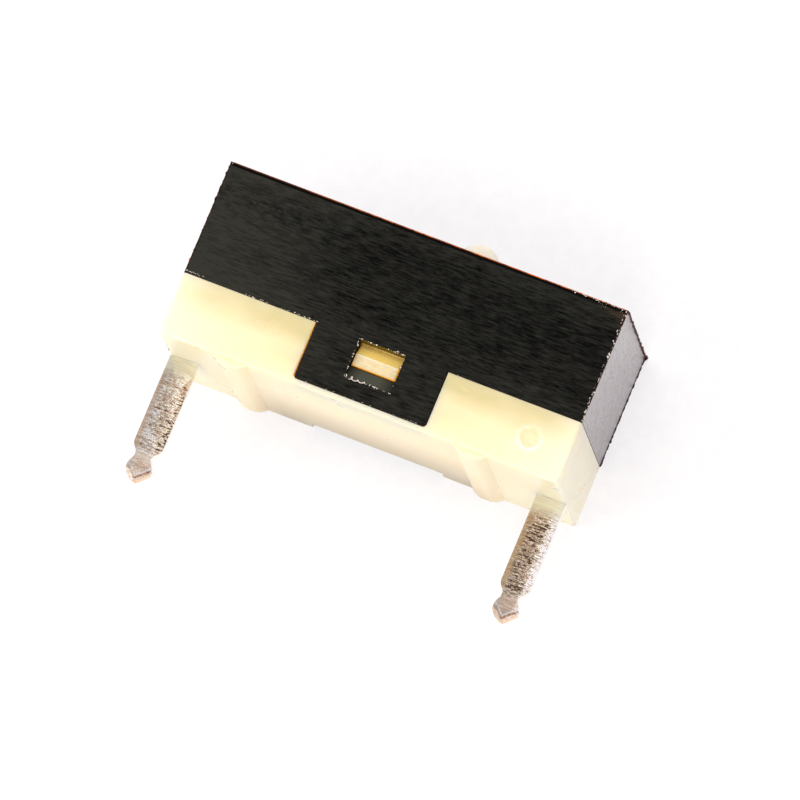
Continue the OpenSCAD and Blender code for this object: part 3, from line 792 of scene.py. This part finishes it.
def coinedV(tree, place, pits, tip, axis, tipLow, spec):
    # the V's arms: as far aside as down from the point that the V comes to
    away = add(tree, "Math", {0: place.outputs["X"]}, operation="ABSOLUTE")
    aside = add(tree, "Math", {0: away, 1: -axis * mm}, operation="ADD")
    aside = add(tree, "Math", {0: aside}, operation="ABSOLUTE")
    fromV = add(tree, "Math", {0: aside, 1: place.outputs["Z"]}, operation="SUBTRACT")
    point = tipLow + spec["tipRadius"] - math.sqrt(2) * spec["ridge"]
    fromV = add(tree, "Math", {0: fromV, 1: point * mm}, operation="ADD")
    # painted highlight: a pale line just inside the V
    glint = add(tree, "Math", {0: fromV, 1: 2 * spec["vLine"] * mm}, operation="ADD")
    glint = add(tree, "Math", {0: glint}, operation="ABSOLUTE")
    glint = add(tree, "MapRange", {"Value": glint, "From Min": spec["vLine"] * mm, "From Max": 0.02 * mm})
    broken = add(tree, "MapRange", {"Value": pits, "From Min": 0.38, "From Max": 0.5, "To Min": 0.3})
    for part in (tip, broken):
        glint = add(tree, "Math", {0: glint, 1: part}, operation="MULTIPLY")
    ridge = add(tree, "Math", {0: fromV}, operation="ABSOLUTE")
    ridge = add(tree, "MapRange", {"Value": ridge, "From Min": spec["vLine"] * mm, "From Max": 0.02 * mm})
    rubbed = add(tree, "MapRange", {"Value": pits, "From Min": 0.4, "From Max": 0.55, "To Min": 0.2})
    # the arm on the left is fainter
    arm = add(tree, "Math", {0: place.outputs["X"], 1: away}, operation="DIVIDE")
    arm = add(tree, "Math", {0: arm, 1: -axis * mm, 2: place.outputs["X"]}, operation="MULTIPLY_ADD")
    arm = add(tree, "MapRange", {"Value": arm, "From Min": -0.1 * mm, "From Max": 0.05 * mm, "To Min": 0.4})
    for part in (rubbed, arm):
        ridge = add(tree, "Math", {0: ridge, 1: part}, operation="MULTIPLY")
    stain = add(tree, "Math", {0: rubbed, 1: tip}, operation="MULTIPLY")
    stain = add(tree, "MapRange", {"Value": stain, "From Min": 0.7, "From Max": 1.0, "To Max": 0.45})
    return glint, add(tree, "Math", {0: ridge, 1: stain}, operation="MAXIMUM")


def pinMaterial(spec, axis, tipLow):
    # tinned copper alloy, coined and sheared: scored across and pitted, copper shows at the cut end of the tip
    material, tree = newMaterial("tinned copper alloy")
    coordinates = add(tree, "TexCoord", out=None)
    here = coordinates.outputs["Object"]
    facing = add(tree, "SeparateXYZ", {0: coordinates.outputs["Normal"]}, out=None)
    place = add(tree, "SeparateXYZ", {0: here}, out=None)
    tilt = (0, math.radians(spec["tilt"]), 0)
    scores = add(tree, "Mapping", {"Vector": here, "Rotation": tilt, "Scale": perMm(spec["scores"])})
    scores = add(tree, "TexNoise", {"Vector": scores, "Scale": 1.0, "Detail": 2.0, "Roughness": 0.6})
    pits = add(tree, "Mapping", {"Vector": here, "Rotation": tilt, "Scale": perMm(spec["pits"])})
    pits = add(tree, "TexNoise", {"Vector": pits, "Scale": 1.0, "Detail": 3.0, "Roughness": 0.65})
    patches = add(tree, "Mapping", {"Vector": here, "Scale": perMm(spec["patches"])})
    patches = add(tree, "TexNoise", {"Vector": patches, "Scale": 1.0, "Detail": 2.0})
    tip = add(tree, "MapRange", {"Value": place.outputs["Z"], "From Min": spec["tipFrom"] * mm,
                                 "From Max": (spec["tipFrom"] - 0.4) * mm})
    # the first half millimetre, the bevel on the left and the tip are less worn
    worn = add(tree, "MapRange", {"Value": place.outputs["Z"], "From Min": -0.1 * mm, "From Max": -0.5 * mm,
                                  "To Min": 0.25})
    smooth = add(tree, "MapRange", {"Value": facing.outputs["X"], "From Min": -0.15, "From Max": -0.35,
                                    "To Min": 1.0, "To Max": 0.7})
    spared = add(tree, "MapRange", {"Value": tip, "To Min": 1.0, "To Max": 0.45})
    for part in (smooth, spared):
        worn = add(tree, "Math", {0: worn, 1: part}, operation="MULTIPLY")
    # painted light: the contact's pin is painted darker in front and lighter on its bevel to the right, the
    # common pin a little the other way
    marks = add(tree, "Math", {0: scores, 1: 0.6, 2: pits}, operation="MULTIPLY_ADD")
    paintedSideLight = add(tree, "MapRange", {"Value": place.outputs["X"], "From Min": 1 * mm, "From Max": -1 * mm,
                                     "To Min": -0.1, "To Max": 0.06})
    turned = add(tree, "MapRange", {"Value": facing.outputs["X"], "From Min": 0.1, "From Max": 0.35,
                                    "To Min": 1.0, "To Max": -1.0})
    marks = add(tree, "Math", {0: paintedSideLight, 1: turned, 2: marks}, operation="MULTIPLY_ADD")
    uneven = add(tree, "MapRange", {"Value": patches, "From Min": 0.35, "From Max": 0.65, "To Min": -0.08,
                                    "To Max": 0.09})
    marks = add(tree, "Math", {0: marks, 1: uneven}, operation="ADD")
    height = add(tree, "Math", {0: marks, 1: worn}, operation="MULTIPLY")
    light = add(tree, "MapRange", {"Value": marks, "From Min": 0.84, "From Max": 0.94})
    dark = add(tree, "MapRange", {"Value": marks, "From Min": 0.74, "From Max": 0.64})
    dark = add(tree, "Math", {0: dark, 1: worn}, operation="MULTIPLY")
    ahead = add(tree, "Math", {0: facing.outputs["X"]}, operation="ABSOLUTE")
    ahead = add(tree, "MapRange", {"Value": ahead, "From Min": 0.3, "From Max": 0.1})
    # partly painted shade: the khaki patches are the tin's own tone, and the flat fronts are also painted
    # khaki, most where worn
    flat = add(tree, "Math", {0: ahead, 1: worn}, operation="MULTIPLY")
    flat = add(tree, "Math", {0: flat, 1: 0.7}, operation="MULTIPLY")
    khaki = add(tree, "MapRange", {"Value": patches, "From Min": 0.4, "From Max": 0.6})
    khaki = add(tree, "Math", {0: khaki, 1: flat}, operation="MAXIMUM")
    clean = add(tree, "Math", {0: tip, 1: 0.75}, operation="MULTIPLY")
    # painted reflection: the bevel to the left is painted grey-brown, patchy along the scores
    leftReflection = add(tree, "MapRange", {"Value": facing.outputs["X"], "From Min": -0.15, "From Max": -0.35,
                                    "To Max": 0.75})
    shaft = add(tree, "Math", {0: 1.0, 1: tip}, operation="SUBTRACT")
    patchy = add(tree, "MapRange", {"Value": scores, "From Min": 0.6, "From Max": 0.4, "To Min": 0.75,
                                    "To Max": 1.2})
    for part in (shaft, patchy):
        leftReflection = add(tree, "Math", {0: leftReflection, 1: part}, operation="MULTIPLY")
    # painted reflection: the first half millimetre below the base is painted cream, with the scores across it
    baseReflected = add(tree, "MapRange", {"Value": place.outputs["Z"], "From Min": -0.5 * mm, "From Max": -0.05 * mm,
                                  "To Max": 0.95})
    lines = add(tree, "MapRange", {"Value": scores, "From Min": 0.5, "From Max": 0.42, "To Max": 0.2})
    lines = add(tree, "Math", {0: lines, 1: baseReflected}, operation="MULTIPLY")
    # sheared sides are clean, and the tip's end is bare
    cut = add(tree, "Math", {0: facing.outputs["Y"]}, operation="ABSOLUTE")
    cut = add(tree, "MapRange", {"Value": cut, "From Min": 0.35, "From Max": 0.1})
    bare = add(tree, "MapRange", {"Value": place.outputs["Z"], "From Min": (tipLow + 0.42) * mm,
                                  "From Max": (tipLow + 0.3) * mm})
    bare = add(tree, "Math", {0: cut, 1: bare}, operation="MULTIPLY")
    glint, stain = coinedV(tree, place, pits, tip, axis, tipLow, spec)
    colour = spec["tin"]
    for share, tone in ((khaki, "khaki"), (light, "bright"), (clean, "worn"), (dark, "score"), (leftReflection, "paintedLeftReflection"),
                        (baseReflected, "paintedBaseReflection"), (lines, "khaki"), (cut, "bright"), (glint, "glint"), (stain, "bronze"),
                        (bare, "copper")):
        colour = add(tree, "Mix", {0: share, 6: colour, 7: spec[tone]}, out=2, data_type="RGBA")
    rough = add(tree, "MapRange", {"Value": pits, "From Min": 0.3, "From Max": 0.7, "To Min": 0.14,
                                   "To Max": 0.3})
    dulled = add(tree, "Math", {0: tip, 1: ahead}, operation="MULTIPLY")
    for part, more in ((dulled, 0.45), (baseReflected, 0.4)):
        rough = add(tree, "Math", {0: part, 1: more, 2: rough}, operation="MULTIPLY_ADD")
    bump = add(tree, "Bump", {"Height": height, "Strength": 1.0, "Distance": 0.03 * mm})
    shader = add(tree, "BsdfPrincipled", {"Base Color": colour, "Metallic": 0.86, "Roughness": rough,
                                          "Normal": bump})
    add(tree, "OutputMaterial", {"Surface": shader})
    return material


def coinTip(bm, axis, tipLow, spec):
    # two slants coined on the tip's front and two on its back, where each pair meets in a V
    centre = Vector((axis, 0, tipLow + spec["tipRadius"]))
    for side in (-1, 1):
        for turn in (-1, 1):
            out = Vector((turn, 0, -1)).normalized()
            ridge = centre + out * spec["ridge"] + Vector((0, side * spec["thickness"] / 2, 0))
            slant = (out * 1.2 + Vector((0, side, 0))).normalized()
            cut = bmesh.ops.bisect_plane(bm, geom=bm.verts[:] + bm.edges[:] + bm.faces[:], dist=cutWeld,
                                         plane_co=ridge * mm, plane_no=slant, clear_outer=True)
            edges = [e for e in cut["geom_cut"] if isinstance(e, bmesh.types.BMEdge)]
            bmesh.ops.holes_fill(bm, edges=edges, sides=0)


def terminalPiece(name, node, side, spec, material):
    low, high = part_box(node)
    outer = high.x if side > 0 else low.x
    bm = meshOf(node)
    coinTip(bm, outer / mm - side * spec["width"] / 2, low.z / mm, spec)
    return addPiece(name, bm, "housing", material, [node])


pinLow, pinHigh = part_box("contact_terminal")
tinned = pinMaterial(pins, pinHigh.x / mm - pins["width"] / 2, pinLow.z / mm)
terminalPiece("commonPin", "common_terminal", -1, pins, tinned)
terminalPiece("contactPin", "contact_terminal", 1, pins, tinned)
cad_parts["rest_stop"].data.materials[0] = tinned     # it is cut from the same strip
print("pins made")


button = {
    "white": "#fff9ee",
    "warm": "#ffeccc",
    "clouds": (0.5, 0.5, 0.5),       # mm
    "roughness": 0.3,
    "scatter": 0.3,          # mm that light travels in the plastic
}


def buttonMaterial(spec):
    # white acetal, moulded: smooth and faintly translucent
    material, tree = newMaterial("white acetal")
    here = add(tree, "TexCoord", out=None).outputs["Object"]
    clouds = add(tree, "Mapping", {"Vector": here, "Scale": perMm(spec["clouds"])})
    clouds = add(tree, "TexNoise", {"Vector": clouds, "Scale": 1.0, "Detail": 2.0})
    colour = add(tree, "Mix", {0: clouds, 6: spec["white"], 7: spec["warm"]}, out=2, data_type="RGBA")
    rough = add(tree, "MapRange", {"Value": clouds, "From Min": 0.3, "From Max": 0.7,
                                   "To Min": spec["roughness"] - 0.05, "To Max": spec["roughness"] + 0.1})
    shader = add(tree, "BsdfPrincipled", {
        "Base Color": colour, "Roughness": rough, "IOR": 1.48, "Subsurface Weight": 0.5,
        "Subsurface Radius": (1.0, 0.85, 0.6), "Subsurface Scale": spec["scatter"] * mm})
    add(tree, "OutputMaterial", {"Surface": shader})
    return material


acetal = buttonMaterial(button)
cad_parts["button"].data.materials[0] = acetal
print("button made")


blade = {
    "light": "#c98a4b",
    "dark": "#9c6430",
    "grain": (1.2, 0.04, 0.2),       # mm, longest along the blade
    "roughness": 0.28,
}
contacts = {
    "light": "#dcdcde",
    "dark": "#a9a49a",
    "grain": (0.1, 0.1, 0.1),        # mm
    "roughness": 0.3,
}


def metalMaterial(name, spec):
    # satin metal: rolling leaves fine lines along the bronze, pressing an even grain on the silver
    material, tree = newMaterial(name)
    here = add(tree, "TexCoord", out=None).outputs["Object"]
    grain = add(tree, "Mapping", {"Vector": here, "Scale": perMm(spec["grain"])})
    grain = add(tree, "TexNoise", {"Vector": grain, "Scale": 1.0, "Detail": 3.0})
    colour = add(tree, "Mix", {0: grain, 6: spec["light"], 7: spec["dark"]}, out=2, data_type="RGBA")
    rough = add(tree, "MapRange", {"Value": grain, "From Min": 0.3, "From Max": 0.7,
                                   "To Min": spec["roughness"] - 0.06, "To Max": spec["roughness"] + 0.1})
    bump = add(tree, "Bump", {"Height": grain, "Strength": 0.3, "Distance": 0.004 * mm})
    shader = add(tree, "BsdfPrincipled", {"Base Color": colour, "Metallic": 1.0, "Roughness": rough,
                                          "Normal": bump})
    add(tree, "OutputMaterial", {"Surface": shader})
    return material


bronze = metalMaterial("rolled spring bronze", blade)
silver = metalMaterial("silver contact alloy", contacts)
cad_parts["snap_blade"].data.materials[0] = bronze
for node in ("moving_contact", "fixed_contact"):
    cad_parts[node].data.materials[0] = silver
print("blade and contacts finished")
